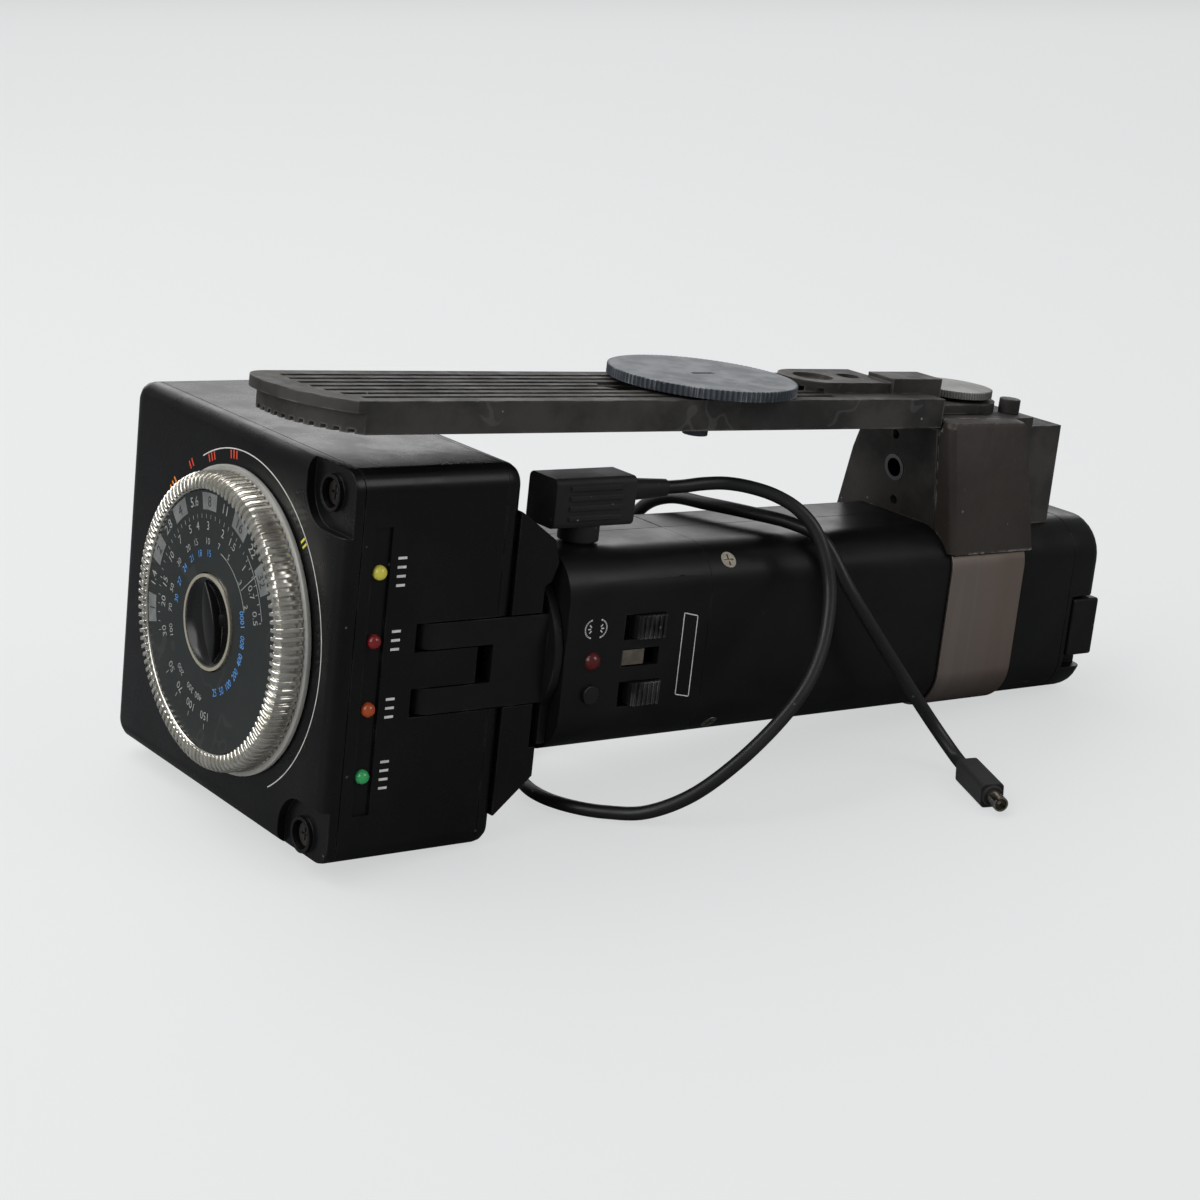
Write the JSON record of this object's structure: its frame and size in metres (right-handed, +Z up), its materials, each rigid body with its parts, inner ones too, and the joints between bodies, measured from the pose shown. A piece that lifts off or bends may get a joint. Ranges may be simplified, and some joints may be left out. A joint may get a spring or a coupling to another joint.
{
  "type": "handle mount flash",
  "caption": "Handle mount flash with a swivelling lamp head, calculator dial, battery drawer, stowed camera rail and sync lead.",
  "frame": {"origin": "centre of the base's footprint, on the surface that the flash lies on; the lead is left out of the footprint", "axes": "+X from the dial to the handle's end, +Y from the control side to the lens side, +Z up; the handle lies 6.33 degrees nose up"},
  "size_m": [0.2514, 0.1589, 0.1129],
  "materials": {
    "black_shell": "satin moulded plastic",
    "cover_plastic": "satin moulded plastic, slightly lighter",
    "lens": "clear ribbed plastic",
    "bright_metal": "polished",
    "glass": "clear",
    "copper": "wound wire",
    "steel": "turned",
    "lamp_yellow": "tinted lens",
    "lamp_red": "tinted lens",
    "lamp_orange": "tinted lens",
    "lamp_green": "tinted lens",
    "clear_ring": "clear knurled plastic",
    "scale": "printed",
    "knob": "moulded",
    "trim": "fine knurl",
    "fork": "satin",
    "screw_brass": "plated",
    "screw_black": "black oxide",
    "ready": "tinted lens",
    "button": "moulded",
    "switch": "ribbed",
    "switch_brown": "moulded",
    "window": "dark window",
    "board": "laminate",
    "can": "sleeved can",
    "basket": "moulded",
    "cell": "sleeved",
    "spring": "wire",
    "band": "brushed",
    "cast": "matte grey paint on a casting",
    "grain_cover": "pebbled",
    "wheel_blue": "matte, knurled rim",
    "wheel_grey": "matte, knurled rim",
    "rubber": "matte",
    "nickel": "nickel"
  },
  "bodies": {
    "handle": {"control_front": "cover_plastic", "control_back": "cover_plastic", "battery_front": "black_shell", "battery_back": "black_shell", "housing_screws": "screw_brass", "ready_lamp": "ready", "sensor_window": "window", "circuit_board": "board", "capacitor": "can", "steel_band": "band", "foot_body": "cast", "foot_cover": "grain_cover", "thread_insert": "steel", "foot_stub": "cast", "sync_socket": "black_shell", "plug_block": "rubber", "plug_collar": "rubber", "strain_relief": "rubber", "sync_lead": "rubber", "tip_sleeve": "rubber", "tip_contact": "nickel"},
    "head": {"dial_cover": "black_shell", "head_shell": "black_shell", "rear_cover": "cover_plastic", "front_lens": "lens", "reflector": "bright_metal", "flash_tube": "glass", "tube_holders": "steel", "trigger_coil": "copper", "corner_screws": "screw_black", "tilt_pin": "steel", "lamp_yellow": "lamp_yellow", "lamp_red": "lamp_red", "lamp_orange": "lamp_orange", "lamp_green": "lamp_green", "dial_spindle": "steel"},
    "dial": {"dial_ring": "clear_ring", "scale_disc": "scale"},
    "knob": {"film_knob": "knob", "knob_trim": "trim"},
    "neck": {"neck_fork": "fork", "swivel_ring": "steel"},
    "test_key": {"test_button": "button"},
    "power_key": {"power_switch": "switch"},
    "mode_key": {"mode_switch": "switch"},
    "winder_key": {"winder_switch": "switch_brown"},
    "drawer": {"end_cap": "black_shell", "cell_basket": "basket", "cells": "cell", "cell_springs": "spring"},
    "latch": {"cap_latch": "fork"},
    "bracket": {"rail": "cast"},
    "carriage": {"slot_washer": "steel"},
    "wheel": {"camera_wheel": "wheel_blue"},
    "thumb": {"thumb_wheel": "wheel_grey"}
  },
  "joints": [
    {"name": "head_swivel", "type": "hinge", "parent": "handle", "child": "neck", "pos_m": [-0.05472, -0.03095, 0.04374], "axis": [0.9939, 0, -0.1103], "range_deg": [-180, 0]},
    {"name": "head_tilt", "type": "hinge", "parent": "neck", "child": "head", "pos_m": [-0.08829, -0.04525, 0.04767], "axis": [0.1103, 0, 0.9939], "range_deg": [0, 90]},
    {"name": "dial_turn", "type": "hinge", "parent": "head", "child": "dial", "pos_m": [-0.11811, -0.00265, 0.05098], "axis": [-0.9939, 0, 0.1103], "range_deg": [-150, 150]},
    {"name": "knob_turn", "type": "hinge", "parent": "head", "child": "knob", "pos_m": [-0.11811, -0.00265, 0.05098], "axis": [-0.9939, 0, 0.1103], "range_deg": [-140, 140]},
    {"name": "test_press", "type": "slide", "parent": "handle", "child": "test_key", "axis": [0, 1, 0], "range_m": [0, 0.0007], "stiffness_N_per_m": 400, "springref_m": -0.0008},
    {"name": "power_slide", "type": "slide", "parent": "handle", "child": "power_key", "axis": [-0.9939, 0, 0.1103], "range_m": [0, 0.003]},
    {"name": "mode_slide", "type": "slide", "parent": "handle", "child": "mode_key", "axis": [-0.9939, 0, 0.1103], "range_m": [0, 0.003]},
    {"name": "winder_slide", "type": "slide", "parent": "handle", "child": "winder_key", "axis": [0.9939, 0, -0.1103], "range_m": [0, 0.003]},
    {"name": "drawer_slide", "type": "slide", "parent": "handle", "child": "drawer", "axis": [0.9939, 0, -0.1103], "range_m": [0, 0.068]},
    {"name": "latch_slide", "type": "slide", "parent": "drawer", "child": "latch", "axis": [-0.1103, 0, -0.9939], "range_m": [0, 0.0028]},
    {"name": "rail_lift", "type": "slide", "parent": "handle", "child": "bracket", "axis": [0.1293, 0, 0.9916], "range_m": [0, 0.02]},
    {"name": "thumb_spin", "type": "hinge", "parent": "bracket", "child": "thumb", "pos_m": [0.08534, -0.03015, 0.08148], "axis": [0.1293, 0, 0.9916], "continuous": true},
    {"name": "carriage_slide", "type": "slide", "parent": "bracket", "child": "carriage", "axis": [-0.9916, 0, 0.1293], "range_m": [0, 0.0266]},
    {"name": "wheel_spin", "type": "hinge", "parent": "carriage", "child": "wheel", "pos_m": [0.00152, -0.03015, 0.09756], "axis": [0.1293, 0, 0.9916], "continuous": true}
  ]
}
